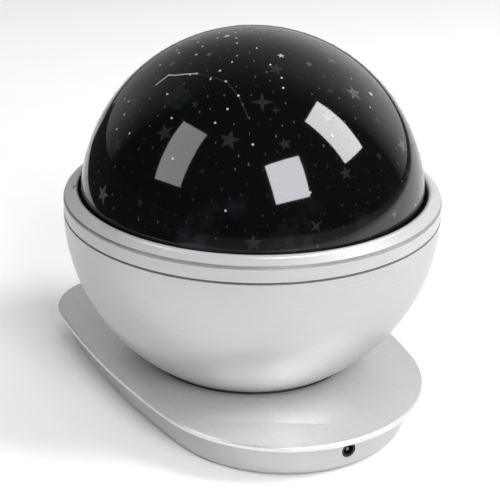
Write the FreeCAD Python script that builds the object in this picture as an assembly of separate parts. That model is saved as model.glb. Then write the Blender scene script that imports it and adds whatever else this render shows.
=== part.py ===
import FreeCAD, Part
import math
import os

os.makedirs("parts", exist_ok=True)

Vec = FreeCAD.Vector
UP = Vec(0, 0, 1)

# All sizes are millimetres. Z is up, the floor is z = 0, the bowl's axis is
# the Z axis and the front of the base, with the power inlet, faces -Y.

# ---- base: an egg-shaped plate over a smaller tray ----
NOSE_R = 51.6            # front arc of the plate
NOSE_Y = -24.4           # centre of the front arc
SIDE_R = 340.0           # long side arcs
CORNER_R = 26.3          # two rear corners
CORNER_X = 28.7          # centre of a rear corner, off the middle line
CORNER_Y = 53.3          # centre of a rear corner, behind the bowl's axis
TAIL_Y = 83.3            # rearmost point of the plate
PLATE_T = 2.2            # plate thickness
PLATE_EDGE_R = 0.8       # rounding of the plate's edges
OVERHANG = 6.0           # how far the plate stands out past the tray
TRAY_WALL = 2.0          # wall of the tray
TRAY_FLOOR = 2.0         # floor of the tray
TRAY_H = 12.4            # height of the tray
TRAY_FOOT_R = 1.2        # turned-under lower edge of the tray
TRAY_ROOM = 1.4          # free height over the inlet and the switch board
PAD_T = 0.8              # rubber pad the object stands on
PAD_INSET = 22.0         # pad edge, measured in from the plate's edge
POST_R = 3.6             # posts that hang from the plate
FRONT_POST = (36.0, -30.0)
REAR_POST = (37.5, 50.0)

# ---- bowl ----
BOWL_R = 68.0            # outside radius of the bowl
BOWL_WALL = 2.2          # wall of the bowl
BOWL_FLOOR = 2.5         # flat floor over the foot
FOOT_DROP = 55.9         # seam down to the flat foot
GASKET_T = 1.1           # ring that makes the dark gap under the bowl
GASKET_SETBACK = 0.3     # gasket edge, measured in from the foot's edge
GASKET_HOLE_R = 14.0
WIRE_HOLE_R = 6.0        # hole through plate and bowl floor
FOOT_SCREW_R0 = 30.0     # circle of the foot screws
FOOT_BOSS_R = 4.0
FOOT_BOSS_H = 8.0
DECK_BOSS_R0 = BOWL_R - 13.0     # circle of the deck bosses
DECK_BOSS_R = 4.0

# ---- trim ring round the dome, heights above the seam ----
RING_GAP = 0.8           # dark groove between bowl and ring
RING_R = BOWL_R - 0.1    # wide lower band
RING_BAND_H = 5.2        # top of the wide band
RING_GROOVE_R = BOWL_R - 1.5     # groove over the wide band
RING_STEP_H = 6.4        # top of the groove
RING_STEP_R = BOWL_R - 0.6
RING_RIM_R = BOWL_R - 3.0        # outside of the rounded rim
RING_RIM_H = 8.0
RING_LIP_R = BOWL_R - 5.2        # inside of the rounded rim
RING_TOP = 8.7           # highest point of the rim
RING_SEAT_R = BOWL_R - 1.6       # step that rests on the bowl
RING_TONGUE_R = BOWL_R - 2.8     # tongue that drops inside the bowl
RING_TONGUE_IN = BOWL_R - 4.4
RING_TONGUE_H = 4.0
NOTCH_DEG = 158.7        # small notch in the rim's inner edge
NOTCH_W = 3.0
NOTCH_R = BOWL_R - 3.5   # outer end of the notch
NOTCH_DEPTH = 1.2        # notch, down from the top of the rim

# ---- dome and the turntable that carries it ----
DOME_R = BOWL_R - 5.9    # outside radius of the dome
DOME_WALL = 1.8
DOME_RISE = 2.4          # dome centre above the seam
DOME_SKIRT = 3.0         # the dome's lower edge, below the seam
DOME_SCREW_R0 = DOME_R - 4.5
DOME_BOSS_R = 3.2
DOME_BOSS_H = 8.0
TABLE_T = 2.0            # turntable disc
TABLE_EDGE = 0.5         # disc edge, in from the dome's outside
HUB_R = 10.5             # hub that turns on the lamp post
HUB_TOP = -1.0           # hub ends, measured from the seam
RUN_GAP = 0.05           # radial running clearance of every turning fit
END_GAP = 0.1            # play along the axis at each end of the hub

# ---- gears ----
MODULE = 0.8
WHEEL_TEETH = 60
PINION_TEETH = 12
WHEEL_ADDENDUM = 0.56    # short teeth clear the small pinion's roots
PINION_ADDENDUM = 0.8
DEDENDUM = 1.0
BACKLASH = 0.12          # taken off the thickness of each tooth
PRESSURE_DEG = 20.0
WHEEL_INNER_R = 20.0
WHEEL_FACE = 6.5
PINION_FACE = 5.0

# ---- deck and lamp post ----
DECK_R = BOWL_R - 7.0
DECK_T = 2.0
DECK_DROP = 14.0         # seam down to the deck's top
POST_TUBE_R = 8.0        # lamp post, which is the turntable's axle
POST_BORE_R = 4.5
POST_FLANGE_R = HUB_R + 7.5
POST_FLANGE_T = 2.0
POST_TOP = 9.0           # lamp post above the seam
POST_SCREW_R0 = HUB_R + 4.0
CLIP_R = HUB_R + 1.0     # clip that keeps the turntable on its post
CLIP_T = 1.2

# ---- lamp ----
LAMP_BOARD_R = 12.0
BOARD_T = 1.6
LED_R = 2.5
LED_H = 4.0
LED_R0 = 6.5
COVER_WALL = 1.0
COVER_SIDE_H = 4.0

# ---- motor ----
MOTOR_R = 12.0
MOTOR_H = 14.0
EAR_SPAN = 14.0          # motor axis to each ear screw
EAR_W = 8.0
EAR_T = 1.5
SHAFT_R = 1.5
SHAFT_DEPTH = 6.0
SHAFT_HOLE_R = 4.0

# ---- main board in the bowl ----
BOARD_X = 50.0
BOARD_Y = 40.0
STANDOFF_X = 21.5
STANDOFF_Y = 16.5
STANDOFF_R = 3.0
STANDOFF_H = 6.0

# ---- screws ----
SCREW_R = 1.5
SCREW_HEAD_R = 2.5
SCREW_HEAD_T = 1.5
SCREW_CLEAR = 0.2        # radial room in a hole the screw only passes
SMALL_SCREW_R = 1.0
SMALL_HEAD_R = 2.0
SMALL_HEAD_T = 1.2
COUNTERBORE = 1.2        # recess for the heads under the tray
HEAD_CLEAR = 0.2

# ---- power inlet and switch ----
INLET_R = 2.75           # round opening in the front of the tray
INLET_X = 1.2            # a little to the right of the middle line
INLET_BORE_R = 1.9       # socket inside the inlet's round nose
INLET_DEPTH = 9.0
INLET_PIN_R = 0.65
NOSE_SINK = 0.2          # nose, in from the outside of the tray
JACK_X = 9.0
JACK_Y = 13.0
JACK_H = TRAY_H - TRAY_FLOOR - TRAY_ROOM
JACK_SETBACK = 0.4
BUTTON_R = 3.0
BUTTON_OUT = 1.6         # how far the button stands out of the tray
BUTTON_TRAVEL = 0.8
BUTTON_FLANGE_R = BUTTON_R + 0.4
BUTTON_FLANGE_T = 1.2
BUTTON_BACK_GAP = 0.2    # curved wall to flat flange
STEM_R = 1.0
STEM_L = 4.0
SWITCH_X = 7.0
SWITCH_Y = 4.0
SWITCH_H = 5.6
SWITCH_BOARD_X = 16.0
SWITCH_BOARD_T = 1.2
SWITCH_BOARD_H = TRAY_H - TRAY_FLOOR - TRAY_ROOM

# ---- leads ----
LEAD_R = 0.9
LEAD_OFFSET = 3.0        # power and switch leads, off the bowl's axis

# ---- heights that follow from the sizes above ----
TRAY_Z = PAD_T
TRAY_IN_Z = TRAY_Z + TRAY_FLOOR
INLET_Z = TRAY_IN_Z + JACK_H / 2
BUTTON_Z = TRAY_IN_Z + SWITCH_BOARD_H / 2
PLATE_Z = TRAY_Z + TRAY_H
PLATE_TOP = PLATE_Z + PLATE_T
FOOT_Z = PLATE_TOP + GASKET_T
SEAM_Z = FOOT_Z + FOOT_DROP
BOWL_IN_Z = FOOT_Z + BOWL_FLOOR
DOME_Z = SEAM_Z + DOME_RISE
DOME_EDGE_Z = SEAM_Z - DOME_SKIRT
TABLE_Z = DOME_EDGE_Z - TABLE_T
DECK_TOP = SEAM_Z - DECK_DROP
DECK_Z = DECK_TOP - DECK_T
FLANGE_TOP = DECK_TOP + POST_FLANGE_T
HUB_Z = FLANGE_TOP + END_GAP
HUB_TOP_Z = SEAM_Z + HUB_TOP
POST_TOP_Z = SEAM_Z + POST_TOP
LAMP_BOARD_TOP = POST_TOP_Z + BOARD_T
BOARD_Z = BOWL_IN_Z + STANDOFF_H
BOARD_TOP = BOARD_Z + BOARD_T
MOTOR_Z = DECK_Z - MOTOR_H
GEAR_CENTRES = MODULE * (WHEEL_TEETH + PINION_TEETH) / 2
FOOT_R = math.sqrt(BOWL_R ** 2 - FOOT_DROP ** 2)
WALL_IN = OVERHANG + TRAY_WALL
FRONT_IN_Y = NOSE_Y - NOSE_R + WALL_IN
REAR_IN_Y = TAIL_Y - WALL_IN


def save(name, shape):
    """Write one node."""
    shape.exportStep("parts/" + name + ".step")


def rod(radius, z_low, z_high, x=0.0, y=0.0):
    """Upright cylinder between two heights."""
    return Part.makeCylinder(radius, z_high - z_low, Vec(x, y, z_low))


def tube(outer, inner, z_low, z_high, x=0.0, y=0.0):
    """Upright hollow cylinder between two heights."""
    return rod(outer, z_low, z_high, x, y).cut(rod(inner, z_low, z_high, x, y))


def block(size_x, size_y, size_z, x, y, z_low):
    """Box centred on x and y, standing on z_low."""
    return Part.makeBox(size_x, size_y, size_z, Vec(x - size_x / 2, y - size_y / 2, z_low))


def on_circle(radius, count, first_deg):
    """Points spaced evenly on a circle about the Z axis."""
    angles = [math.radians(first_deg + 360.0 * i / count) for i in range(count)]
    return [(radius * math.cos(a), radius * math.sin(a)) for a in angles]


def drill(shape, points, radius, z_low, z_high):
    """Cut the same upright hole at each point."""
    return shape.cut([rod(radius, z_low, z_high, x, y) for x, y in points])


def screws(points, shank_r, head_r, head_t, z_head, z_tip):
    """One screw at each point; z_head is the face the head bears on."""
    head_end = z_head + head_t if z_tip < z_head else z_head - head_t
    made = []
    for x, y in points:
        shank = rod(shank_r, min(z_head, z_tip), max(z_head, z_tip), x, y)
        head = rod(head_r, min(z_head, head_end), max(z_head, head_end), x, y)
        made.append(shank.fuse(head))
    return Part.makeCompound(made)


def line(start, end):
    """Straight edge in the XZ plane between two (radius, height) points."""
    return Part.makeLine(Vec(start[0], 0, start[1]), Vec(end[0], 0, end[1]))


def bow(start, middle, end):
    """Arc in the XZ plane through three (radius, height) points."""
    points = [Vec(p[0], 0, p[1]) for p in (start, middle, end)]
    return Part.Arc(*points).toShape()


def turn(edges):
    """Solid of revolution about the Z axis from a closed chain of edges."""
    return Part.Face(Part.Wire(edges)).revolve(Vec(0, 0, 0), UP, 360)


def arc_point(centre, toward, radius):
    """Point at a radius from centre, on the line that passes through toward."""
    step = Vec(toward) - Vec(centre)
    return Vec(centre) + step * (radius / step.Length)


def side_centre():
    """Centre of the right side arc, which touches the nose and corner arcs inside."""
    nose = Vec(0, NOSE_Y, 0)
    corner = Vec(CORNER_X, CORNER_Y, 0)
    span = corner - nose
    reach_nose = SIDE_R - NOSE_R
    reach_corner = SIDE_R - CORNER_R
    along = (reach_nose ** 2 - reach_corner ** 2 + span.Length ** 2) / (2 * span.Length)
    across = math.sqrt(reach_nose ** 2 - along ** 2)
    unit = span * (1 / span.Length)
    return nose + unit * along + Vec(-unit.y, unit.x, 0) * across


def tail_radius():
    """Radius of the rear arc: it touches the corner arcs and reaches TAIL_Y."""
    back = TAIL_Y - CORNER_Y
    return (back ** 2 + CORNER_X ** 2 - CORNER_R ** 2) / (2 * (back - CORNER_R))


def egg(inset):
    """Base outline, moved inward by inset, as a face at z = 0."""
    nose = Vec(0, NOSE_Y, 0)
    corner = Vec(CORNER_X, CORNER_Y, 0)
    side = side_centre()
    tail_r = tail_radius()
    tail = Vec(0, TAIL_Y - tail_r, 0)
    a = arc_point(side, nose, SIDE_R - inset)
    b = arc_point(side, corner, SIDE_R - inset)
    c = arc_point(tail, corner, tail_r - inset)
    side_mid = arc_point(side, (a + b) * 0.5, SIDE_R - inset)
    corner_mid = arc_point(corner, (b + c) * 0.5, CORNER_R - inset)
    front = nose - Vec(0, NOSE_R - inset, 0)
    rear = tail + Vec(0, tail_r - inset, 0)

    def other(p):
        return Vec(-p.x, p.y, 0)

    chain = [
        (other(a), front, a),
        (a, side_mid, b),
        (b, corner_mid, c),
        (c, rear, other(c)),
        (other(c), other(corner_mid), other(b)),
        (other(b), other(side_mid), other(a)),
    ]
    return Part.Face(Part.Wire([Part.Arc(*three).toShape() for three in chain]))


def slab(inset, z_low, z_high):
    """Flat piece with the base outline."""
    face = egg(inset)
    face.translate(Vec(0, 0, z_low))
    return face.extrude(Vec(0, 0, z_high - z_low))


def edges_at(shape, height):
    """Edges that lie wholly at one height."""
    box = [(e, e.BoundBox) for e in shape.Edges]
    return [e for e, b in box if abs(b.ZMin - height) < 1e-4 and abs(b.ZMax - height) < 1e-4]


def corner_posts():
    """The four places where the plate is screwed to the tray."""
    return [(side * x, y) for x, y in (FRONT_POST, REAR_POST) for side in (-1, 1)]


def bore_y(radius, y_low, y_high, z, x=0.0):
    """Cylinder along Y."""
    return Part.makeCylinder(radius, y_high - y_low, Vec(x, y_low, z), Vec(0, 1, 0))


def base_plate():
    """Silver top plate with four posts below for the tray screws."""
    plate = slab(0, PLATE_Z, PLATE_TOP)
    plate = plate.makeFillet(PLATE_EDGE_R, edges_at(plate, PLATE_TOP) + edges_at(plate, PLATE_Z))
    for x, y in corner_posts():
        plate = plate.fuse(rod(POST_R, TRAY_IN_Z, PLATE_Z + PLATE_T / 2, x, y))
    plate = drill(plate, corner_posts(), SCREW_R, TRAY_IN_Z, PLATE_Z)
    plate = drill(plate, foot_points(), SCREW_R + SCREW_CLEAR, PLATE_Z, PLATE_TOP)
    return drill(plate, [(0, 0)], WIRE_HOLE_R, PLATE_Z, PLATE_TOP)


def base_tray():
    """Open tray under the plate, with the inlet and button holes."""
    outer = slab(OVERHANG, TRAY_Z, PLATE_Z)
    outer = outer.makeFillet(TRAY_FOOT_R, edges_at(outer, TRAY_Z))
    tray = outer.cut(slab(WALL_IN, TRAY_IN_Z, PLATE_Z))
    tray = drill(tray, corner_posts(), SCREW_R + SCREW_CLEAR, TRAY_Z, TRAY_IN_Z)
    recess_r = SCREW_HEAD_R + HEAD_CLEAR
    tray = drill(tray, corner_posts(), recess_r, TRAY_Z, TRAY_Z + COUNTERBORE)
    wall = TRAY_WALL + 1
    tray = tray.cut(bore_y(INLET_R, FRONT_IN_Y - wall, FRONT_IN_Y + 1, INLET_Z, INLET_X))
    return tray.cut(bore_y(BUTTON_R + RUN_GAP, REAR_IN_Y - 1, REAR_IN_Y + wall, BUTTON_Z))


def foot_points():
    return on_circle(FOOT_SCREW_R0, 4, 0)


def foot_gasket():
    """Dark ring between the plate and the bowl's foot."""
    ring = tube(FOOT_R - GASKET_SETBACK, GASKET_HOLE_R, PLATE_TOP, FOOT_Z)
    return drill(ring, foot_points(), SCREW_R + SCREW_CLEAR, PLATE_TOP, FOOT_Z)


def ball(radius):
    """Sphere about the bowl's centre."""
    return Part.makeSphere(radius, Vec(0, 0, SEAM_Z))


def standoffs():
    return [(sx * STANDOFF_X, sy * STANDOFF_Y) for sx in (-1, 1) for sy in (-1, 1)]


def deck_points():
    return on_circle(DECK_BOSS_R0, 4, 45)


def bowl_shell():
    """Silver half ball with a flat foot and its inside bosses."""
    bowl = ball(BOWL_R).common(rod(BOWL_R, FOOT_Z, SEAM_Z))
    bowl = bowl.cut(ball(BOWL_R - BOWL_WALL).common(rod(BOWL_R, BOWL_IN_Z, SEAM_Z)))
    bosses = [rod(DECK_BOSS_R, FOOT_Z, DECK_Z, x, y) for x, y in deck_points()]
    bosses += [rod(FOOT_BOSS_R, FOOT_Z, FOOT_Z + FOOT_BOSS_H, x, y) for x, y in foot_points()]
    bosses += [rod(STANDOFF_R, FOOT_Z, BOARD_Z, x, y) for x, y in standoffs()]
    within = ball(BOWL_R - BOWL_WALL / 2)
    for boss in bosses:
        bowl = bowl.fuse(boss.common(within))
    bowl = drill(bowl, deck_points(), SCREW_R, DECK_Z - FOOT_BOSS_H, DECK_Z)
    bowl = drill(bowl, foot_points(), SCREW_R, FOOT_Z, FOOT_Z + FOOT_BOSS_H)
    bowl = drill(bowl, standoffs(), SMALL_SCREW_R, BOWL_IN_Z, BOARD_Z)
    return drill(bowl, [(0, 0)], WIRE_HOLE_R, FOOT_Z, BOWL_IN_Z)


def trim_ring():
    """Silver ring over the seam: wide band, groove, sloping band, rounded rim."""
    seam = SEAM_Z
    rim_mid = ((RING_RIM_R + RING_LIP_R) / 2, seam + RING_TOP)
    corners = [
        (RING_LIP_R, seam + RING_RIM_H),
        (RING_TONGUE_IN, seam + RING_BAND_H),
        (RING_TONGUE_IN, seam - RING_TONGUE_H),
        (RING_TONGUE_R, seam - RING_TONGUE_H),
        (RING_TONGUE_R, seam),
        (RING_SEAT_R, seam),
        (RING_SEAT_R, seam + RING_GAP),
        (RING_R, seam + RING_GAP),
        (RING_R, seam + RING_BAND_H),
        (RING_GROOVE_R, seam + RING_BAND_H),
        (RING_GROOVE_R, seam + RING_STEP_H),
        (RING_STEP_R, seam + RING_STEP_H),
        (RING_RIM_R, seam + RING_RIM_H),
    ]
    edges = [line(a, b) for a, b in zip(corners, corners[1:])]
    ring = turn(edges + [bow(corners[-1], rim_mid, corners[0])])
    notch = block(NOTCH_R, NOTCH_W, NOTCH_DEPTH, NOTCH_R / 2, 0, seam + RING_TOP - NOTCH_DEPTH)
    notch.rotate(Vec(0, 0, 0), UP, NOTCH_DEG)
    return ring.cut(notch)


def quarter(radius):
    """Quarter arc from the dome's side up to its top."""
    half = radius * math.sqrt(0.5)
    return bow((radius, DOME_Z), (half, DOME_Z + half), (0, DOME_Z + radius))


def dome_points():
    return on_circle(DOME_SCREW_R0, 3, 30)


def dome_shell():
    """Printed half ball with a short straight skirt and three screw bosses."""
    inner = DOME_R - DOME_WALL
    dome = turn([
        line((inner, DOME_EDGE_Z), (DOME_R, DOME_EDGE_Z)),
        line((DOME_R, DOME_EDGE_Z), (DOME_R, DOME_Z)),
        quarter(DOME_R),
        line((0, DOME_Z + DOME_R), (0, DOME_Z + inner)),
        quarter(inner),
        line((inner, DOME_Z), (inner, DOME_EDGE_Z)),
    ])
    top = DOME_EDGE_Z + DOME_BOSS_H
    for x, y in dome_points():
        dome = dome.fuse(rod(DOME_BOSS_R, DOME_EDGE_Z, top, x, y))
    return drill(dome, dome_points(), SCREW_R, DOME_EDGE_Z, top)


def gear_face(teeth, addendum, first_deg):
    """Gear outline at z = 0 with involute flanks; one tooth points at first_deg."""
    pitch_r = MODULE * teeth / 2
    base_r = pitch_r * math.cos(math.radians(PRESSURE_DEG))
    root_r = pitch_r - DEDENDUM
    tip_r = pitch_r + addendum
    start_r = max(base_r, root_r)

    def involute(radius):
        roll = math.acos(min(1.0, base_r / radius))
        return math.tan(roll) - roll

    half = (math.pi * MODULE / 2 - BACKLASH) / (2 * pitch_r) + involute(pitch_r)
    steps = [start_r + (tip_r - start_r) * i / 4.0 for i in range(5)]
    flank = [(root_r, half - involute(start_r))] if start_r > root_r else []
    flank += [(radius, half - involute(radius)) for radius in steps]
    points = []
    for tooth in range(teeth):
        middle = math.radians(first_deg) + 2 * math.pi * tooth / teeth
        sides = [(r, middle - turned) for r, turned in flank]
        sides += [(r, middle + turned) for r, turned in reversed(flank)]
        points += [Vec(r * math.cos(a), r * math.sin(a), 0) for r, a in sides]
    return Part.Face(Part.makePolygon(points + points[:1]))


def turntable():
    """Disc under the dome with a hub for the lamp post and a gear below."""
    table = rod(DOME_R - TABLE_EDGE, TABLE_Z, DOME_EDGE_Z)
    wheel = gear_face(WHEEL_TEETH, WHEEL_ADDENDUM, 90).extrude(Vec(0, 0, WHEEL_FACE))
    wheel.translate(Vec(0, 0, TABLE_Z - WHEEL_FACE))
    wheel = wheel.cut(rod(WHEEL_INNER_R, TABLE_Z - WHEEL_FACE, TABLE_Z))
    table = table.fuse(wheel).fuse(rod(HUB_R, HUB_Z, HUB_TOP_Z))
    table = drill(table, [(0, 0)], POST_TUBE_R + RUN_GAP, HUB_Z, HUB_TOP_Z)
    return drill(table, dome_points(), SCREW_R + SCREW_CLEAR, TABLE_Z, DOME_EDGE_Z)


def turntable_clip():
    """Ring pressed on the lamp post over the hub."""
    low = HUB_TOP_Z + END_GAP
    return tube(CLIP_R, POST_TUBE_R, low, low + CLIP_T)


def post_points():
    return on_circle(POST_SCREW_R0, 3, 30)


def lamp_post():
    """Fixed hollow post: the turntable's axle and the lamp's stand."""
    post = rod(POST_FLANGE_R, DECK_TOP, FLANGE_TOP).fuse(rod(POST_TUBE_R, DECK_TOP, POST_TOP_Z))
    post = drill(post, [(0, 0)], POST_BORE_R, DECK_TOP, POST_TOP_Z)
    return drill(post, post_points(), SCREW_R + SCREW_CLEAR, DECK_TOP, FLANGE_TOP)


def ear_points():
    return [(side * EAR_SPAN, GEAR_CENTRES) for side in (-1, 1)]


def deck():
    """Round floor across the bowl that carries lamp post and motor."""
    plate = rod(DECK_R, DECK_Z, DECK_TOP)
    plate = drill(plate, [(0, 0)], POST_BORE_R, DECK_Z, DECK_TOP)
    plate = drill(plate, [(0, GEAR_CENTRES)], SHAFT_HOLE_R, DECK_Z, DECK_TOP)
    plate = drill(plate, post_points(), SCREW_R, DECK_Z, DECK_TOP)
    return drill(plate, deck_points() + ear_points(), SCREW_R + SCREW_CLEAR, DECK_Z, DECK_TOP)


def motor_case():
    """Round geared motor hung under the deck by two ears."""
    case = rod(MOTOR_R, MOTOR_Z, DECK_Z, 0, GEAR_CENTRES)
    ears = block(2 * EAR_SPAN + EAR_W, EAR_W, EAR_T, 0, GEAR_CENTRES, DECK_Z - EAR_T)
    case = drill(case.fuse(ears), ear_points(), SCREW_R, DECK_Z - EAR_T, DECK_Z)
    return drill(case, [(0, GEAR_CENTRES)], SHAFT_R + RUN_GAP, DECK_Z - SHAFT_DEPTH, DECK_Z)


def pinion_top():
    return TABLE_Z - END_GAP * 5


def motor_shaft():
    """Motor shaft, up through the deck to the pinion."""
    low = DECK_Z - SHAFT_DEPTH + END_GAP
    return rod(SHAFT_R, low, pinion_top(), 0, GEAR_CENTRES)


def pinion():
    """Small gear pressed on the motor shaft, in mesh with the turntable."""
    gap_faces_wheel = -90 + 180.0 / PINION_TEETH
    face = gear_face(PINION_TEETH, PINION_ADDENDUM, gap_faces_wheel)
    gear = face.extrude(Vec(0, 0, PINION_FACE))
    gear.translate(Vec(0, GEAR_CENTRES, pinion_top() - PINION_FACE))
    return drill(gear, [(0, GEAR_CENTRES)], SHAFT_R, pinion_top() - PINION_FACE, pinion_top())


def lamp_leds():
    """Four round lamps standing on the lamp board."""
    made = []
    for x, y in on_circle(LED_R0, 4, 45):
        body = rod(LED_R, LAMP_BOARD_TOP, LAMP_BOARD_TOP + LED_H, x, y)
        nose = Part.makeSphere(LED_R, Vec(x, y, LAMP_BOARD_TOP + LED_H))
        made.append(body.fuse(nose))
    return Part.makeCompound(made)


def lamp_cover():
    """Clear cap over the lamps."""
    outer = LAMP_BOARD_R
    inner = outer - COVER_WALL
    low = LAMP_BOARD_TOP
    top = low + COVER_SIDE_H
    half = math.sqrt(0.5)
    return turn([
        line((inner, low), (outer, low)),
        line((outer, low), (outer, top)),
        bow((outer, top), (outer * half, top + outer * half), (0, top + outer)),
        line((0, top + outer), (0, top + inner)),
        bow((0, top + inner), (inner * half, top + inner * half), (inner, top)),
        line((inner, top), (inner, low)),
    ])


def main_board():
    """Driver board on four standoffs in the bottom of the bowl."""
    board = block(BOARD_X, BOARD_Y, BOARD_T, 0, 0, BOARD_Z)
    return drill(board, standoffs(), SMALL_SCREW_R + SCREW_CLEAR, BOARD_Z, BOARD_TOP)


def board_parts():
    """Chip, tall capacitor, driver and coil on the driver board."""
    chip = block(12, 8, 1.6, -13, -7, BOARD_TOP)
    driver = block(9, 7, 2.4, 13, 9, BOARD_TOP)
    capacitor = rod(4, BOARD_TOP, BOARD_TOP + 9, 13, -6)
    coil = rod(3, BOARD_TOP, BOARD_TOP + 4, 4, -13)
    return Part.makeCompound([chip, driver, capacitor, coil])


def jack_back():
    """Rear face of the inlet's box."""
    return FRONT_IN_Y + JACK_SETBACK + JACK_Y


def power_jack():
    """Inlet: a box in the tray with a round nose that fills the opening."""
    back = jack_back()
    tip = FRONT_IN_Y - TRAY_WALL + NOSE_SINK
    body = block(JACK_X, JACK_Y, JACK_H, INLET_X, back - JACK_Y / 2, TRAY_IN_Z)
    body = body.fuse(bore_y(INLET_R, tip, back - 1, INLET_Z, INLET_X))
    body = body.cut(bore_y(INLET_BORE_R, tip, tip + INLET_DEPTH, INLET_Z, INLET_X))
    return body.cut(bore_y(INLET_PIN_R, tip, back - 1, INLET_Z, INLET_X))


def jack_pin():
    """Bright centre pin of the inlet."""
    return bore_y(INLET_PIN_R, FRONT_IN_Y - TRAY_WALL / 2, jack_back() - 1, INLET_Z, INLET_X)


def button_back():
    """Inner face of the button's flange."""
    return REAR_IN_Y - BUTTON_BACK_GAP - BUTTON_FLANGE_T


def power_button():
    """Round push button in the rear of the tray, with a flange and a stem."""
    back = button_back()
    cap = bore_y(BUTTON_R, back, REAR_IN_Y + TRAY_WALL + BUTTON_OUT, BUTTON_Z)
    flange = bore_y(BUTTON_FLANGE_R, back, back + BUTTON_FLANGE_T, BUTTON_Z)
    stem = bore_y(STEM_R, back - STEM_L, back, BUTTON_Z)
    return cap.fuse(flange).fuse(stem)


def switch_face():
    """Face of the switch that the button's stem enters."""
    return button_back() - STEM_L / 2


def button_switch():
    """Switch body; the stem slides in its bore."""
    face = switch_face()
    low = BUTTON_Z - SWITCH_H / 2
    body = block(SWITCH_X, SWITCH_Y, SWITCH_H, 0, face - SWITCH_Y / 2, low)
    depth = STEM_L / 2 + BUTTON_TRAVEL + END_GAP
    return body.cut(bore_y(STEM_R + RUN_GAP, face - depth, face, BUTTON_Z))


def switch_board():
    """Small upright board behind the switch, standing on the tray floor."""
    y = switch_face() - SWITCH_Y - SWITCH_BOARD_T / 2
    return block(SWITCH_BOARD_X, SWITCH_BOARD_T, SWITCH_BOARD_H, 0, y, TRAY_IN_Z)


def lead(corners):
    """Round wire through the given points."""
    pieces = []
    for start, end in zip(corners, corners[1:]):
        run = Vec(end) - Vec(start)
        pieces.append(Part.makeCylinder(LEAD_R, run.Length, Vec(start), run))
    joints = [Part.makeSphere(LEAD_R, Vec(point)) for point in corners[1:-1]]
    return pieces[0].multiFuse(pieces[1:] + joints) if joints else pieces[0]


def power_lead():
    x = INLET_X
    y = -LEAD_OFFSET
    return lead([(x, jack_back(), INLET_Z), (x, y, INLET_Z), (x, y, BOARD_Z)])


def switch_lead():
    start = switch_face() - SWITCH_Y - SWITCH_BOARD_T
    y = LEAD_OFFSET
    return lead([(0, start, BUTTON_Z), (0, y, BUTTON_Z), (0, y, BOARD_Z)])


def lamp_lead():
    return lead([(0, 0, BOARD_TOP), (0, 0, POST_TOP_Z)])


def motor_lead():
    level = (BOARD_TOP + MOTOR_Z) / 2
    near = (-12, 12)
    far = (-4, GEAR_CENTRES - 3)
    return lead([near + (BOARD_TOP,), near + (level,), far + (level,), far + (MOTOR_Z,)])


save("base_plate", base_plate())
save("base_tray", base_tray())
save("base_pad", slab(PAD_INSET, 0, PAD_T))
save("base_screws", screws(corner_posts(), SCREW_R, SCREW_HEAD_R, COUNTERBORE - END_GAP,
                           TRAY_Z + COUNTERBORE, PLATE_Z - 3))
save("foot_gasket", foot_gasket())
save("foot_screws", screws(foot_points(), SCREW_R, SCREW_HEAD_R, SCREW_HEAD_T,
                           PLATE_Z, FOOT_Z + FOOT_BOSS_H - 1))
save("bowl_shell", bowl_shell())
save("trim_ring", trim_ring())
save("dome_shell", dome_shell())
save("dome_screws", screws(dome_points(), SCREW_R, SCREW_HEAD_R, SCREW_HEAD_T,
                           TABLE_Z, DOME_EDGE_Z + DOME_BOSS_H - 1))
save("turntable", turntable())
save("turntable_clip", turntable_clip())
save("lamp_post", lamp_post())
save("post_screws", screws(post_points(), SCREW_R, SCREW_HEAD_R, SCREW_HEAD_T,
                           FLANGE_TOP, DECK_Z))
save("deck", deck())
save("deck_screws", screws(deck_points(), SCREW_R, SCREW_HEAD_R, SCREW_HEAD_T,
                           DECK_TOP, DECK_Z - FOOT_BOSS_H + 1))
save("motor_case", motor_case())
save("motor_screws", screws(ear_points(), SCREW_R, SCREW_HEAD_R, SCREW_HEAD_T,
                            DECK_TOP, DECK_Z - EAR_T))
save("motor_shaft", motor_shaft())
save("pinion", pinion())
save("lamp_board", rod(LAMP_BOARD_R, POST_TOP_Z, LAMP_BOARD_TOP))
save("lamp_leds", lamp_leds())
save("lamp_cover", lamp_cover())
save("main_board", main_board())
save("board_parts", board_parts())
save("board_screws", screws(standoffs(), SMALL_SCREW_R, SMALL_HEAD_R, SMALL_HEAD_T,
                            BOARD_TOP, BOWL_IN_Z + 1))
save("power_jack", power_jack())
save("jack_pin", jack_pin())
save("power_button", power_button())
save("button_switch", button_switch())
save("switch_board", switch_board())
save("power_lead", power_lead())
save("switch_lead", switch_lead())
save("lamp_lead", lamp_lead())
save("motor_lead", motor_lead())
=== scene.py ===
import math
import random

import bmesh
import bpy
from mathutils import Matrix, Vector


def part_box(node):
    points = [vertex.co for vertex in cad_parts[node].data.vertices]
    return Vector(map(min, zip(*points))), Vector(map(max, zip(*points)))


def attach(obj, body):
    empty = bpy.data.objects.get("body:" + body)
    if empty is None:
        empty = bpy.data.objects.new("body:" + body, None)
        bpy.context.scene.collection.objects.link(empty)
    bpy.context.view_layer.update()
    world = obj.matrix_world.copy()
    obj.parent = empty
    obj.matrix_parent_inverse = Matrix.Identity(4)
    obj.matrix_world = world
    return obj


bl_info = {
    "name": "Star Projector Night Light",
    "version": (1, 0, 0),
    "blender": (4, 5, 0),
    "location": "View3D > Sidebar > Star Light",
    "description": "Finishes, printed sky and studio for a star projector night light",
    "category": "Object",
}

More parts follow.
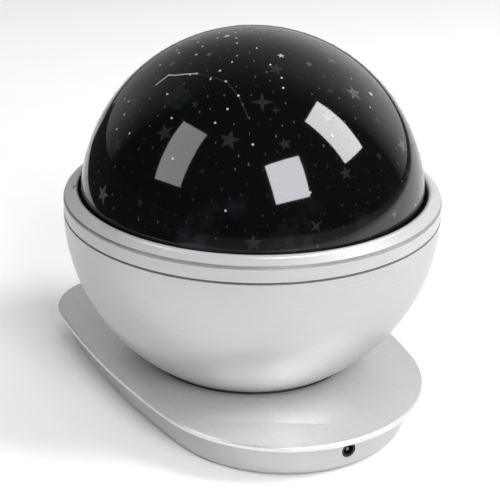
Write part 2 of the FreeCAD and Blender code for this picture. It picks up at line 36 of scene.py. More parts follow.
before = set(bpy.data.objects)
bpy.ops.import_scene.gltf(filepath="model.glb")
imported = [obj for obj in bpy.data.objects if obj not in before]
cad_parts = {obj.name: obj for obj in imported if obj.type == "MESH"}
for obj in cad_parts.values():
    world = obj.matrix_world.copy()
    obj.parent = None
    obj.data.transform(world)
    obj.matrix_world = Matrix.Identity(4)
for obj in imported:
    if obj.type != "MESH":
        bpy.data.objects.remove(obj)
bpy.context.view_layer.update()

MM = 0.001
UP = Vector((0.0, 0.0, 1.0))
DOME_LOW, DOME_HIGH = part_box("dome_shell")
DOME_RADIUS = (DOME_HIGH.x - DOME_LOW.x) / 2
DOME_CENTRE = UP * (DOME_HIGH.z - DOME_RADIUS)
SEAM_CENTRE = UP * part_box("bowl_shell")[1].z

# Textures, in features per metre.
SHEEN = 22.0
SPECKS = 700.0
CLOUDS = 60.0
RIPPLE = 70.0
PRINT_GRAIN = 2500.0
BLOTCHES = 90.0
FLOOR_GRAIN = 30.0

# Depth of the moulded grain and of the brushed and flaked silver.
MOULDED_DEPTH = 0.03 * MM
SILVER_DEPTH = 0.02 * MM
RIPPLE_DEPTH = 0.4 * MM

# A brushed streak is this many times longer than wide.
STREAK_STRETCH = 40

# The clouds on the dome fade out between these heights over its middle.
HAZE_FADE = (8.0 * MM, 30.0 * MM)

# Edges bent by more than this, in radians, are kept sharp.
SHARP_BEND = 0.8


# ---------------------------------------------------------------- sizes and colours

def length(name, description, metres):
    """A settable length."""
    return bpy.props.FloatProperty(
        name=name, description=description, default=metres, min=0.0,
        subtype="DISTANCE", unit="LENGTH", precision=5)


def angle(name, description, degrees):
    """A settable angle, shown in degrees."""
    return bpy.props.FloatProperty(
        name=name, description=description, default=math.radians(degrees),
        subtype="ANGLE", unit="ROTATION")


def colour(name, description, rgb):
    """A settable colour."""
    return bpy.props.FloatVectorProperty(
        name=name, description=description, default=rgb, size=3,
        min=0.0, max=1.0, subtype="COLOR")


def share(name, description, value):
    """A settable number from 0 to 1."""
    return bpy.props.FloatProperty(
        name=name, description=description, default=value,
        min=0.0, max=1.0, subtype="FACTOR")


def power(name, description, watts):
    """A settable lamp power."""
    return bpy.props.FloatProperty(
        name=name, description=description, default=watts, min=0.0, precision=4)


class SilverSettings(bpy.types.PropertyGroup):
    """The silver paint on bowl, ring, plate and tray."""
    paint: colour("Paint", "Silver paint of bowl, ring and tray", (0.485, 0.485, 0.487))
    metal: share("Metal", "How metallic the paint looks", 0.6)
    roughness: share("Roughness", "Gloss of the paint", 0.36)
    ring_paint: colour("Ring paint", "Silver of the trim ring", (0.47, 0.47, 0.47))
    ring_metal: share("Ring metal", "How metallic the ring looks", 0.3)
    # The plate's paint is a lighter copy of the same silver: painted light on the upward-facing plate.
    plate_lit_paint: colour("Plate paint", "Silver of the plate", (0.66, 0.66, 0.664))
    plate_metal: share("Plate metal", "How metallic the plate looks", 0.6)
    plate_roughness: share("Plate roughness", "Gloss of the plate", 0.36)
    streak: length("Streak", "Width of the fine brushed streaks", 0.0003)
    flake: length("Flake", "Size of the metal flakes", 0.00025)


class DomeSettings(bpy.types.PropertyGroup):
    """The glossy dome and the sky printed on it."""
    black: colour("Black", "Printed black", (0.002, 0.002, 0.0022))
    haze: colour("Haze", "Faint clouds low on the dome", (0.012, 0.013, 0.017))
    bright: colour("Bright print", "Brightest stars", (0.32, 0.32, 0.33))
    middle: colour("Middle print", "Most stars", (0.055, 0.055, 0.057))
    dim: colour("Dim print", "Faint stars", (0.014, 0.014, 0.015))
    roughness: share("Roughness", "Gloss of the dome", 0.045)
    relief: length("Relief", "How far the print stands off the dome", 0.00003)
    dots: bpy.props.IntProperty(
        name="Dots", description="Number of small dots", default=760, min=0)
    stars: bpy.props.IntProperty(
        name="Stars", description="Number of scattered stars", default=60, min=0)
    seed: bpy.props.IntProperty(
        name="Seed", description="Start of the scatter", default=11)


class StageSettings(bpy.types.PropertyGroup):
    """Floor, lights and camera."""
    floor: colour("Floor", "Pale floor", (0.84, 0.84, 0.84))
    floor_side: length("Floor side", "Width of the floor", 6.0)
    distance: length("Distance", "Camera to the middle of the bowl's seam", 0.5)
    lens: bpy.props.FloatProperty(
        name="Lens", description="Focal length in millimetres", default=99.15, min=1.0)
    azimuth: angle("Azimuth", "Camera round the object, from the front", -28.7)
    elevation: angle("Elevation", "Camera above the horizon", 22.284)
    tilt: angle("Tilt", "Camera turned down from the seam's middle", -1.9)
    pan: angle("Pan", "Camera turned sideways", 0.066)
    roll: angle("Roll", "Camera rolled about its own axis", -1.175)
    lamp_distance: length("Lamp distance", "Soft boxes to the dome", 1.5)
    # The pool of light on the floor is painted into the floor's colour, not cast by a lamp.
    pool_ahead: length("Pool ahead", "Middle of the lit floor, behind the object", 0.45)
    pool_inner: length("Pool inner", "Where the lit floor starts to fade", 0.70)
    pool_outer: length("Pool outer", "Where the lit floor has faded", 0.95)
    pool_dim: share("Pool dim", "Floor left beyond the lit part", 0.12)
    ceiling: length("Ceiling", "Height and width of the overhead lamp", 1.6)
    ceiling_power: power("Ceiling power", "Power of the overhead lamp, in watts", 9.0)
    flag: length("Flag", "Black card at the left, away from the object", 0.30)
    flag_wide: length("Flag width", "Width of the black card", 0.9)
    flag_high: length("Flag height", "Height of the black card", 0.12)
    kicker: power("Kicker", "Power of the stronger low lamp, in watts", 0.005)
    kicker_ahead: length("Kicker ahead", "Low lamps in front of the axis", 0.061)
    kicker_size: length("Kicker size", "Height and width of the low lamps", 0.02)
    kicker_rise: share("Kicker rise", "How steeply the low lamps look up", 0.85)


# ---------------------------------------------------------------- small tools

def directions(azimuth):
    """Level directions from the object: toward the camera, and to its right."""
    front = Vector((math.sin(azimuth), -math.cos(azimuth), 0.0))
    return front, Vector((math.cos(azimuth), math.sin(azimuth), 0.0))


def new_material(name):
    """An empty node material."""
    made = bpy.data.materials.new(name)
    made.use_nodes = True
    made.node_tree.nodes.clear()
    return made, made.node_tree


def node(tree, kind, inputs=None, **settings):
    """A shader node with its settings, values and incoming links."""
    made = tree.nodes.new(kind)
    for key, value in settings.items():
        setattr(made, key, value)
    for key, value in (inputs or {}).items():
        socket = made.inputs[key]
        if isinstance(value, bpy.types.NodeSocket):
            tree.links.new(value, socket)
        else:
            socket.default_value = value
    return made


def finish_material(tree, shader):
    """Send a shader to the material's surface."""
    node(tree, "ShaderNodeOutputMaterial", {"Surface": shader.outputs[0]})


def place(tree, scale):
    """Texture coordinates in metres times a scale for each axis."""
    where = node(tree, "ShaderNodeTexCoord")
    return node(tree, "ShaderNodeMapping", {
        "Vector": where.outputs["Object"], "Scale": scale}).outputs["Vector"]


def noise(tree, scale, detail=2.0, roughness=0.5):
    """Noise with its own scale for each axis."""
    return node(tree, "ShaderNodeTexNoise", {
        "Vector": place(tree, scale), "Scale": 1.0,
        "Detail": detail, "Roughness": roughness}).outputs["Fac"]


def even_noise(tree, per_metre, detail=2.0, roughness=0.5):
    """Noise with as many features per metre along each axis."""
    return noise(tree, (per_metre, per_metre, per_metre), detail, roughness)


def ramp(tree, value, low, high, to_low, to_high):
    """A value moved from one range to another."""
    return node(tree, "ShaderNodeMapRange", {
        "Value": value, "From Min": low, "From Max": high,
        "To Min": to_low, "To Max": to_high}).outputs["Result"]


def blend_colours(tree, share_of_second, first, second):
    """Mix of two colours."""
    mixed = node(tree, "ShaderNodeMix", data_type="RGBA")
    for socket, value in ((mixed.inputs["Factor"], share_of_second),
                          (mixed.inputs[6], first), (mixed.inputs[7], second)):
        if isinstance(value, bpy.types.NodeSocket):
            tree.links.new(value, socket)
        else:
            socket.default_value = value
    return mixed.outputs[2]


def solid(rgb, gain=1.0):
    """A colour with full alpha, made lighter or darker."""
    return tuple(min(1.0, part * gain) for part in rgb) + (1.0,)


def bump(tree, height, strength, distance, under=None):
    """Surface relief from a height."""
    inputs = {"Height": height, "Strength": strength, "Distance": distance}
    if under:
        inputs["Normal"] = under
    return node(tree, "ShaderNodeBump", inputs).outputs["Normal"]


def paint_node(name, material):
    """Give a CAD node one material."""
    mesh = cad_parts[name].data
    mesh.materials.clear()
    mesh.materials.append(material)


def object_from(name, bm, material, smooth=True):
    """A mesh object from a bmesh."""
    mesh = bpy.data.meshes.new(name)
    bmesh.ops.recalc_face_normals(bm, faces=bm.faces)
    for edge in bm.edges:
        if edge.is_manifold and edge.calc_face_angle() > SHARP_BEND:
            edge.smooth = False
    bm.to_mesh(mesh)
    bm.free()
    mesh.materials.append(material)
    for face in mesh.polygons:
        face.use_smooth = smooth
    made = bpy.data.objects.new(name, mesh)
    bpy.context.scene.collection.objects.link(made)
    return made


# ---------------------------------------------------------------- finishes

def silver_material(name, settings, base, metal, roughness, streaks):
    """Satin silver paint with streaks, flakes, fine specks and uneven sheen;
    the streaks run round the axis or along the base."""
    made, tree = new_material(name)
    across = 1.0 / settings.streak
    along = across / STREAK_STRETCH
    scale = {"round": (along, along, across), "long": (across, along, along)}[streaks]
    streak = noise(tree, scale, 3.0, 0.6)
    flake = even_noise(tree, 1.0 / settings.flake, 1.0)
    cloud = even_noise(tree, SHEEN)
    speck = even_noise(tree, SPECKS)
    paint = blend_colours(tree, ramp(tree, streak, 0.3, 0.7, 0.0, 1.0),
                          solid(base, 0.94), solid(base, 1.05))
    paint = blend_colours(tree, ramp(tree, cloud, 0.3, 0.7, 0.0, 0.35),
                          paint, solid(base, 0.9))
    paint = blend_colours(tree, ramp(tree, speck, 0.76, 0.80, 0.0, 0.6), paint, solid(base, 0.4))
    rough = ramp(tree, cloud, 0.3, 0.7, roughness - 0.04, roughness + 0.05)
    relief = bump(tree, streak, 0.12, SILVER_DEPTH)
    relief = bump(tree, flake, 0.10, SILVER_DEPTH, relief)
    shader = node(tree, "ShaderNodeBsdfPrincipled", {
        "Base Color": paint, "Metallic": metal,
        "Roughness": rough, "Normal": relief})
    finish_material(tree, shader)
    return made


def dome_material(name, settings):
    """Glossy black print with faint clouds low down and a slight ripple."""
    made, tree = new_material(name)
    cloud = even_noise(tree, CLOUDS, 6.0, 0.62)
    where = node(tree, "ShaderNodeTexCoord").outputs["Object"]
    height = node(tree, "ShaderNodeSeparateXYZ", {"Vector": where}).outputs["Z"]
    fade_from, fade_to = (DOME_CENTRE.z + above for above in HAZE_FADE)
    low = ramp(tree, height, fade_from, fade_to, 1.0, 0.0)
    amount = node(tree, "ShaderNodeMath", {
        0: ramp(tree, cloud, 0.54, 0.68, 0.0, 1.0), 1: low}, operation="MULTIPLY").outputs[0]
    paint = blend_colours(tree, amount, solid(settings.black), solid(settings.haze))
    ripple = bump(tree, even_noise(tree, RIPPLE, 1.0), 0.10, RIPPLE_DEPTH)
    shader = node(tree, "ShaderNodeBsdfPrincipled", {
        "Base Color": paint, "Roughness": settings.roughness, "IOR": 1.5,
        "Normal": ripple})
    finish_material(tree, shader)
    return made


def print_material(name, rgb, settings):
    """Grey print under the same gloss as the dome."""
    made, tree = new_material(name)
    grain = even_noise(tree, PRINT_GRAIN)
    paint = blend_colours(tree, ramp(tree, grain, 0.35, 0.65, 0.0, 1.0),
                          solid(rgb, 0.75), solid(rgb, 1.2))
    shader = node(tree, "ShaderNodeBsdfPrincipled", {
        "Base Color": paint, "Roughness": settings.roughness, "IOR": 1.5})
    finish_material(tree, shader)
    return made


def moulded_material(name, rgb, roughness, metal=0.0, grain=0.0003):
    """Moulded plastic, rubber or plated metal with a fine grain."""
    made, tree = new_material(name)
    texture = even_noise(tree, 1.0 / grain, 3.0)
    blotch = even_noise(tree, BLOTCHES)
    paint = blend_colours(tree, ramp(tree, blotch, 0.35, 0.65, 0.0, 1.0),
                          solid(rgb, 0.9), solid(rgb, 1.1))
    rough = ramp(tree, texture, 0.3, 0.7, max(0.02, roughness - 0.06), roughness + 0.06)
    shader = node(tree, "ShaderNodeBsdfPrincipled", {
        "Base Color": paint, "Metallic": metal, "Roughness": rough,
        "Normal": bump(tree, texture, 0.3, MOULDED_DEPTH)})
    finish_material(tree, shader)
    return made


# ---------------------------------------------------------------- printed sky

def sky_axes(longitude, latitude):
    """Outward, east and north directions at a place on the dome, in degrees;
    longitude 0 is the front and grows to the right."""
    lon, lat = math.radians(longitude), math.radians(latitude)
    out = Vector((math.sin(lon) * math.cos(lat), -math.cos(lon) * math.cos(lat), math.sin(lat)))
    east = Vector((math.cos(lon), math.sin(lon), 0.0))
    return out, east, out.cross(east)


def on_dome(axes, across, up, lift):
    """A point of the dome, given by its distances from a place on it."""
    out, east, north = axes
    reach = math.hypot(across, up)
    if reach == 0.0:
        return DOME_CENTRE + out * (DOME_RADIUS + lift)
    turned = reach / DOME_RADIUS
    side = (east * across + north * up) / reach
    return DOME_CENTRE + (out * math.cos(turned) + side * math.sin(turned)) * (DOME_RADIUS + lift)


def add_patch(bm, axes, outline, relief):
    """A thin closed patch on the dome from an outline round its middle, with
    one more ring halfway so that it follows the dome's curve."""
    layers = []
    for lift in (relief, -relief):
        middle = bm.verts.new(on_dome(axes, 0.0, 0.0, lift))
        rings = [[bm.verts.new(on_dome(axes, x * part, y * part, lift)) for x, y in outline]
                 for part in (0.5, 1.0)]
        layers.append((middle, rings))
    count = len(outline)
    for middle, (inner, outer) in layers:
        for i in range(count):
            j = (i + 1) % count
            bm.faces.new((middle, inner[i], inner[j]))
            bm.faces.new((inner[i], outer[i], outer[j], inner[j]))
    top, base = layers[0][1][1], layers[1][1][1]
    for i in range(count):
        j = (i + 1) % count
        bm.faces.new((top[i], base[i], base[j], top[j]))


def star_outline(points, radius, turned):
    """Outline of a star; with four points it is a sparkle with a slim waist."""
    waist = 0.28 if points == 4 else 0.42
    outline = []
    for i in range(points * 2):
        reach = radius if i % 2 == 0 else radius * waist
        a = turned + math.pi * i / points
        outline.append((reach * math.sin(a), reach * math.cos(a)))
    return outline


def dot_outline(radius, tall, sides):
    """Outline of a dot, stretched up the dome."""
    outline = []
    for i in range(sides):
        a = 2 * math.pi * i / sides
        outline.append((radius * math.sin(a), radius * tall * math.cos(a)))
    return outline


# Larger stars: longitude and latitude, radius in millimetres, turn in degrees
# and number of points. Dots and lines: longitudes and latitudes.
BRIGHT_STARS = [(-96, 80, 1.3, 0, 5), (-4, 71, 1.3, 10, 5), (39, 47, 1.2, 30, 5)]
MIDDLE_STARS = [(27, 50, 3.4, 25, 5), (37, 63, 2.5, 5, 4), (38, 28, 3.4, 5, 5), (-85, 13, 3.6, 10, 5),
                (22, 10, 1.8, 5, 5), (-123, 70, 2.8, 0, 5), (14, 65, 1.5, 5, 5), (-73, 69, 1.3, 0, 5),
                (-113, 51, 1.8, 0, 5), (-93, 60, 1.4, 0, 5), (4, 45, 2.6, 15, 5)]
DIM_STARS = [(-14, 65, 3.0, 25, 5), (-25, 52, 3.9, 0, 4), (-19, 49, 1.6, 0, 4), (-38, 39, 3.6, 8, 5),
             (-57, 49, 1.5, 0, 5), (-65, 38, 3.4, 40, 5), (-86, 29, 3.4, 30, 5), (21, 29, 1.6, 10, 5),
             (4, 27, 2.5, 0, 5), (-17, 38, 2.3, 60, 5)]
BRIGHT_DOTS = [(-124, 78), (-58, 78), (-72, 81), (-99, 77), (-107, 71), (-110, 64), (-103, 64), (-92, 71),
               (-102, 57), (-85, 56), (-71, 59), (-67, 60), (-46, 59), (-37, 54), (-41, 49), (-45, 44),
               (-65, 43), (-75, 50), (-96, 42), (-92, 38), (-91, 33), (-82, 34), (-37, 18), (-29, 38),
               (-17, 67), (-12, 61), (-13, 57), (-53, 63), (-84, 67), (-58, 31), (-10, 23), (3, 39)]
SKY_LINES = [[(-87, 51), (-85, 56), (-80, 57), (-67, 60)], [(-67, 60), (-46, 59), (-37, 54), (-31, 46)],
             [(-111, 37), (-96, 42), (-91, 44)], [(60, 67), (69, 63), (74, 58)]]

# The scattered print: lowest latitude and gap in degrees, sizes in millimetres.
STAR_LOWEST, STAR_GAP, STAR_SIZES = 3.0, 9.0, (1.0, 3.2)
DOT_LOWEST, DOT_GAP, DOT_SIZES = 1.0, 3.2, (0.18, 0.3)
DOT_STRETCH = 1.9
BRIGHT_DOT = 0.42 * MM
LINE_WIDTH = 0.45 * MM
LINE_STEP = 1.5 * MM

# Painted shade: the dots are fainter low down, within this many degrees of a middle longitude, the one that
# faces the camera.
SHADE_BELOW = 38.0
SHADE_MIDDLE, SHADE_REACH = -29.0, 60.0


def sky_angle(a, b):
    """Angle between two places on the dome, in degrees."""
    return math.degrees(sky_axes(*a)[0].angle(sky_axes(*b)[0]))


def scatter(rng, wanted, lowest, gap, taken):
    """Places spread evenly over the dome, each a gap from all others; they
    are added to the places taken."""
    found = []
    tries = 0
    while len(found) < wanted and tries < wanted * 30:
        tries += 1
        lon = rng.uniform(-180.0, 180.0)
        lat = math.degrees(math.asin(rng.uniform(math.sin(math.radians(lowest)), 1.0)))
        if all(sky_angle((lon, lat), spot) > gap for spot in taken):
            found.append((lon, lat))
            taken.append((lon, lat))
    return found


def add_line(bm, start, end, relief):
    """A thin raised line between two places on the dome."""
    a, b = sky_axes(*start)[0], sky_axes(*end)[0]
    steps = max(2, int(a.angle(b) * DOME_RADIUS / LINE_STEP))
    rows = []
    for i in range(steps + 1):
        out = a.slerp(b, i / steps)
        side = out.cross(b - a).normalized() * (LINE_WIDTH / 2)
        rows.append([bm.verts.new(DOME_CENTRE + (out * (DOME_RADIUS + lift) + side * turn))
                     for lift, turn in ((relief, 1), (relief, -1), (-relief, -1), (-relief, 1))])
    for one, two in zip(rows, rows[1:]):
        for k in range(4):
            bm.faces.new((one[k], two[k], two[(k + 1) % 4], one[(k + 1) % 4]))
    bm.faces.new(rows[0])
    bm.faces.new(tuple(reversed(rows[-1])))


def add_stars(bm, places, relief):
    """Stars from their table rows."""
    for lon, lat, radius, turned, points in places:
        outline = star_outline(points, radius * MM, math.radians(turned))
        add_patch(bm, sky_axes(lon, lat), outline, relief)


# ---------------------------------------------------------------- operators

class STARLIGHT_OT_silver(bpy.types.Operator):
    """Paint the bowl, trim ring, plate and tray in satin silver"""
    bl_idname = "starlight.silver"
    bl_label = "Silver shell"

    def execute(self, context):
        settings = context.scene.starlight_silver
        turned = silver_material(
            "silver_round", settings, settings.paint, settings.metal, settings.roughness, "round")
        # The plate takes the lighter copy of the silver, which is painted light.
        flat = silver_material(
            "silver_flat", settings, settings.plate_lit_paint, settings.plate_metal,
            settings.plate_roughness, "long")
        ring = silver_material(
            "silver_ring", settings, settings.ring_paint, settings.ring_metal, settings.roughness, "round")
        paint_node("bowl_shell", turned)
        paint_node("base_tray", turned)
        paint_node("trim_ring", ring)
        paint_node("base_plate", flat)
        return {"FINISHED"}


class STARLIGHT_OT_dome(bpy.types.Operator):
    """Give the dome its glossy black finish"""
    bl_idname = "starlight.dome"
    bl_label = "Glossy dome"

    def execute(self, context):
        paint_node("dome_shell", dome_material("dome_black", context.scene.starlight_dome))
        return {"FINISHED"}


class STARLIGHT_OT_sky(bpy.types.Operator):
    """Print stars, sparkles, dots and lines on the dome"""
    bl_idname = "starlight.sky"
    bl_label = "Printed sky"

    def execute(self, context):
        settings = context.scene.starlight_dome
        rng = random.Random(settings.seed)
        bright, middle, dim = bmesh.new(), bmesh.new(), bmesh.new()
        named = BRIGHT_STARS + MIDDLE_STARS + DIM_STARS
        taken = [(row[0], row[1]) for row in named] + list(BRIGHT_DOTS)
        for bm, rows in ((bright, BRIGHT_STARS), (middle, MIDDLE_STARS), (dim, DIM_STARS)):
            add_stars(bm, rows, settings.relief)
        self.scatter_stars(rng, settings, dim, taken)
        for lon, lat in BRIGHT_DOTS:
            add_patch(bright, sky_axes(lon, lat), dot_outline(BRIGHT_DOT, 1.0, 10), settings.relief)
        self.scatter_dots(rng, settings, (bright, middle, dim), taken)
        for bm, path in zip((bright, dim, middle, middle), SKY_LINES):
            for start, end in zip(path, path[1:]):
                add_line(bm, start, end, settings.relief)
        tones = (("sky_bright", bright, settings.bright), ("sky_middle", middle, settings.middle),
                 ("sky_dim", dim, settings.dim))
        for name, bm, rgb in tones:
            piece = object_from(name, bm, print_material(name, rgb, settings))
            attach(piece, "projector")
        return {"FINISHED"}

    def scatter_stars(self, rng, settings, bm, taken):
        """Faint stars and a few sparkles all over the dome."""
        for lon, lat in scatter(rng, settings.stars, STAR_LOWEST, STAR_GAP, taken):
            row = (lon, lat, rng.uniform(*STAR_SIZES), rng.uniform(0.0, 72.0), rng.choice((5, 5, 5, 4)))
            add_stars(bm, [row], settings.relief)

    def scatter_dots(self, rng, settings, tones, taken):
        """Small dots all over the dome; low down on the side facing the camera most take dimmer tones, as
        painted shade.
        """
        bright, middle, dim = tones
        clear = (bright,) + (middle,) * 12 + (dim,) * 7
        shaded_tones = (middle,) * 3 + (dim,) * 17
        for lon, lat in scatter(rng, settings.dots, DOT_LOWEST, DOT_GAP, taken):
            size = rng.uniform(*DOT_SIZES) * MM
            # Painted shade: low dots on the side facing the camera mostly take the dim tone.
            is_unshaded = lat > SHADE_BELOW or abs(lon - SHADE_MIDDLE) > SHADE_REACH
            bm = rng.choice(clear if is_unshaded else shaded_tones)
            add_patch(bm, sky_axes(lon, lat), dot_outline(size, DOT_STRETCH, 8), settings.relief)


class STARLIGHT_OT_small_parts(bpy.types.Operator):
    """Give pad, gasket, inlet, button, screws and inner parts their finishes"""
    bl_idname = "starlight.small_parts"
    bl_label = "Small parts"

    def execute(self, context):
        black = moulded_material("black_moulded", (0.012, 0.012, 0.012), 0.45)
        inlet = moulded_material("inlet_black_and_gap_shade", (0.003, 0.003, 0.003), 0.6)
        rubber = moulded_material("rubber_black", (0.02, 0.02, 0.02), 0.8, grain=0.0006)
        white = moulded_material("white_moulded", (0.75, 0.75, 0.73), 0.45)
        zinc = moulded_material("zinc_plate", (0.6, 0.6, 0.6), 0.3, metal=1.0)
        # Painted shade: the pin's plating is dark grey, standing in for the shade deep inside the jack.
        shaded_pin = moulded_material("pin_plate_painted_shade", (0.16, 0.16, 0.16), 0.3, metal=1.0)
        board = moulded_material("board_green", (0.02, 0.16, 0.06), 0.4)
        lamp = moulded_material("lamp_white", (0.85, 0.86, 0.9), 0.15)
        red = moulded_material("lead_red", (0.5, 0.02, 0.02), 0.5)
        finishes = {
            # Painted shade: the gasket under the bowl shares the inlet's near-black so that it draws the
            # dark gap between bowl and plate.
            inlet: ("power_jack", "foot_gasket"),
            black: ("deck", "lamp_post", "power_button",
                    "button_switch", "board_parts", "switch_lead", "motor_lead"),
            rubber: ("base_pad",),
            white: ("turntable", "turntable_clip", "pinion"),
            zinc: ("base_screws", "foot_screws", "deck_screws", "post_screws", "motor_screws",
                   "dome_screws", "board_screws", "motor_case", "motor_shaft"),
            shaded_pin: ("jack_pin",),
            board: ("main_board", "switch_board", "lamp_board"),
            lamp: ("lamp_leds", "lamp_cover"),
            red: ("power_lead", "lamp_lead"),
        }
        for material, names in finishes.items():
            for name in names:
                paint_node(name, material)
        return {"FINISHED"}


# Soft boxes: name, longitude and latitude as seen from the dome, width,
# height and roll, all in degrees, brightness and colour.
SOFT_BOXES = [("box_left", -91.5, 36.2, 20.0, 34.3, 8.5, 4.5, (1.0, 0.99, 0.96)),
              ("box_front", -3.0, 31.4, 22.4, 24.9, 5.2, 15.0, (0.94, 0.96, 1.0)),
              ("box_right", 55.0, 43.7, 19.1, 31.7, -4.6, 14.5, (1.0, 1.0, 0.98)),
              ("box_far", -140.0, 48.9, 15.2, 11.2, 40.0, 0.12, (0.5, 1.0, 0.8))]

# Low lamps: name, place to the right of the camera's line in metres, and
# share of the full power.
KICKERS = [("kicker_left", -0.006, 0.45), ("kicker_right", 0.018, 1.0)]

# The room: how far the bright wall leans up, where it starts and is full
# toward the back, where it dims to the left, and how it dims with height.
WALL_LEAN = 0.35
WALL_FACING = (0.38, 0.74, 0.0, 1.0)
WALL_SIDEWAYS = (-0.3, 0.35, 0.38, 1.0)
WALL_HEIGHT = (0.3, 1.0, 1.0, 0.12)
ROOM_LIGHT = (0.0, 1.0, 0.03, 1.0)


def area_lamp(name, shape, size, energy):
    """An area lamp in the scene."""
    lamp = bpy.data.lights.new(name, "AREA")
    lamp.shape = shape
    lamp.size = size
    lamp.energy = energy
    made = bpy.data.objects.new(name, lamp)
    bpy.context.scene.collection.objects.link(made)
    return made


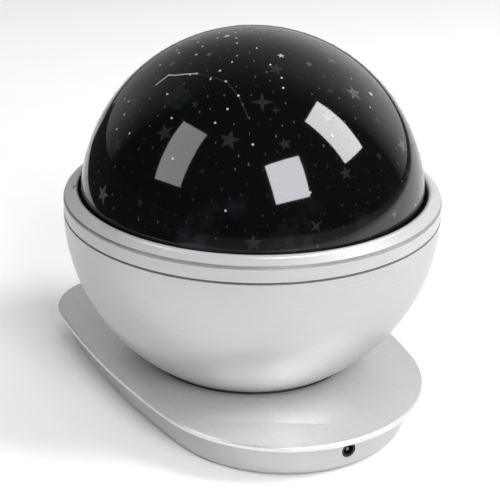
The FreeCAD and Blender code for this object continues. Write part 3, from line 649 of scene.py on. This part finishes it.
class STARLIGHT_OT_stage(bpy.types.Operator):
    """Set up the pale floor, the lamps, the room and the camera"""
    bl_idname = "starlight.stage"
    bl_label = "Stage"

    def execute(self, context):
        settings = context.scene.starlight_stage
        for step in (self.make_floor, self.make_soft_boxes, self.make_kickers, self.make_flag,
                     self.make_ceiling, self.make_room, self.make_camera):
            step(settings)
        context.scene.view_settings.view_transform = "Standard"
        return {"FINISHED"}

    def make_floor(self, settings):
        """A pale floor with a painted pool of light: its colour fades darker far behind the object."""
        made, tree = new_material("floor_pale")
        grain = even_noise(tree, FLOOR_GRAIN, 3.0)
        paint = blend_colours(tree, ramp(tree, grain, 0.3, 0.7, 0.0, 1.0),
                              solid(settings.floor, 0.99), solid(settings.floor))
        front = directions(settings.azimuth)[0]
        where = node(tree, "ShaderNodeTexCoord").outputs["Object"]
        away = node(tree, "ShaderNodeVectorMath", {
            0: where, 1: front * -settings.pool_ahead}, operation="DISTANCE").outputs["Value"]
        # Painted pool of light: the floor's colour darkens with distance from a point behind the object.
        paint = blend_colours(tree, ramp(tree, away, settings.pool_inner, settings.pool_outer, 0.0, 1.0),
                              paint, solid(settings.floor, settings.pool_dim))
        shader = node(tree, "ShaderNodeBsdfPrincipled", {"Base Color": paint, "Roughness": 0.9})
        finish_material(tree, shader)
        bm = bmesh.new()
        bmesh.ops.create_grid(bm, x_segments=2, y_segments=2, size=settings.floor_side / 2)
        floor = object_from("floor", bm, made, smooth=False)

    def make_soft_boxes(self, settings):
        """Large soft boxes round the dome, each turned to its middle."""
        for name, lon, lat, wide, high, roll, brightness, tint in SOFT_BOXES:
            out, east, north = sky_axes(lon, lat)
            spin = Matrix.Rotation(math.radians(roll), 3, out)
            east, north = spin @ east, spin @ north
            width, height = (
                2 * settings.lamp_distance * math.tan(math.radians(spread) / 2) for spread in (wide, high))
            made = area_lamp(name, "RECTANGLE", width, brightness * width * height * math.pi)
            made.data.size_y = height
            made.data.color = tint
            made.matrix_world = Matrix.Translation(DOME_CENTRE + out * settings.lamp_distance) @ (
                Matrix((east, north, out)).transposed().to_4x4())

    def make_ceiling(self, settings):
        """A wide lamp overhead, not seen in shiny surfaces."""
        made = area_lamp("ceiling", "DISK", settings.ceiling, settings.ceiling_power)
        made.location = UP * settings.ceiling
        made.visible_glossy = False

    def make_kickers(self, settings):
        """Two small lamps low in front, on the underside of the bowl."""
        front, right = directions(settings.azimuth)
        for name, aside, part in KICKERS:
            made = area_lamp(name, "DISK", settings.kicker_size, settings.kicker * part)
            made.location = front * settings.kicker_ahead + right * aside + UP * settings.kicker_size
            made.visible_glossy = False
            made.rotation_mode = "QUATERNION"
            made.rotation_quaternion = (UP * settings.kicker_rise - front).to_track_quat("-Z", "Y")

    def make_flag(self, settings):
        """A black card at the left, seen only in shiny surfaces."""
        bm = bmesh.new()
        bmesh.ops.create_grid(bm, x_segments=2, y_segments=2, size=0.5)
        black = moulded_material("flag_black", (0.01, 0.01, 0.01), 0.9)
        flag = object_from("flag", bm, black, smooth=False)
        left = -directions(settings.azimuth)[1]
        flag.matrix_world = Matrix.LocRotScale(
            left * settings.flag + UP * (settings.flag_high / 2),
            Matrix((left.cross(UP), UP, left)).transposed(),
            Vector((settings.flag_wide, settings.flag_high, 1.0)))
        for rays in ("visible_camera", "visible_diffuse", "visible_shadow", "visible_transmission"):
            setattr(flag, rays, False)

    def make_room(self, settings):
        """A dark room with a bright wall behind the object."""
        world = bpy.data.worlds.new("studio")
        world.use_nodes = True
        tree = world.node_tree
        background = tree.nodes["Background"]
        front, right = directions(settings.azimuth)
        where = node(tree, "ShaderNodeTexCoord").outputs["Generated"]
        facing, sideways = (
            node(tree, "ShaderNodeVectorMath", {0: where, 1: axis}, operation="DOT_PRODUCT").outputs["Value"]
            for axis in (UP * WALL_LEAN - front, right))
        height = node(tree, "ShaderNodeSeparateXYZ", {"Vector": where}).outputs["Z"]
        lit = ramp(tree, facing, *WALL_FACING)
        for part in (ramp(tree, sideways, *WALL_SIDEWAYS), ramp(tree, height, *WALL_HEIGHT)):
            lit = node(tree, "ShaderNodeMath", {0: lit, 1: part}, operation="MULTIPLY").outputs[0]
        tree.links.new(ramp(tree, lit, *ROOM_LIGHT), background.inputs["Strength"])
        background.inputs["Color"].default_value = (1.0, 1.0, 1.0, 1.0)
        bpy.context.scene.world = world

    def make_camera(self, settings):
        """The camera on the bowl's seam, then turned about its own axes."""
        out = sky_axes(math.degrees(settings.azimuth), math.degrees(settings.elevation))[0]
        right = directions(settings.azimuth)[1]
        axes = [right, right.cross(-out), -out]
        for turned_about, turned in enumerate((settings.tilt, settings.pan, settings.roll)):
            spin = Matrix.Rotation(turned, 3, axes[turned_about])
            axes = [spin @ axis for axis in axes]
        right, up, ahead = axes
        data = bpy.data.cameras.new("camera")
        data.lens = settings.lens
        data.sensor_width = 36.0
        data.clip_start = 0.01
        data.clip_end = 50.0
        made = bpy.data.objects.new("camera", data)
        made.matrix_world = Matrix.Translation(SEAM_CENTRE + out * settings.distance) @ (
            Matrix((right, up, -ahead)).transposed().to_4x4())
        bpy.context.scene.collection.objects.link(made)
        bpy.context.scene.camera = made


class STARLIGHT_PT_panel(bpy.types.Panel):
    """Lists the pieces of the star light"""
    bl_idname = "STARLIGHT_PT_panel"
    bl_label = "Star Light"
    bl_space_type = "VIEW_3D"
    bl_region_type = "UI"
    bl_category = "Star Light"

    def draw(self, context):
        for name, kind in GROUPS.items():
            group = getattr(context.scene, name)
            for field in kind.__annotations__:
                self.layout.prop(group, field)
        for operator in PIECES:
            self.layout.operator(operator.bl_idname)


PIECES = (STARLIGHT_OT_silver, STARLIGHT_OT_dome, STARLIGHT_OT_sky, STARLIGHT_OT_small_parts,
          STARLIGHT_OT_stage)
GROUPS = {"starlight_silver": SilverSettings, "starlight_dome": DomeSettings,
          "starlight_stage": StageSettings}


def register():
    """Add the settings, the operators and the panel."""
    for group in GROUPS.values():
        bpy.utils.register_class(group)
    for name, group in GROUPS.items():
        setattr(bpy.types.Scene, name, bpy.props.PointerProperty(type=group))
    for operator in PIECES:
        bpy.utils.register_class(operator)
    bpy.utils.register_class(STARLIGHT_PT_panel)


def unregister():
    """Take them away again, in reverse."""
    bpy.utils.unregister_class(STARLIGHT_PT_panel)
    for operator in reversed(PIECES):
        bpy.utils.unregister_class(operator)
    for name in GROUPS:
        delattr(bpy.types.Scene, name)
    for group in reversed(list(GROUPS.values())):
        bpy.utils.unregister_class(group)


def main():
    """Build every piece."""
    register()
    for operator in PIECES:
        section, action = operator.bl_idname.split(".")
        getattr(getattr(bpy.ops, section), action)()


if __name__ == "__main__":
    main()
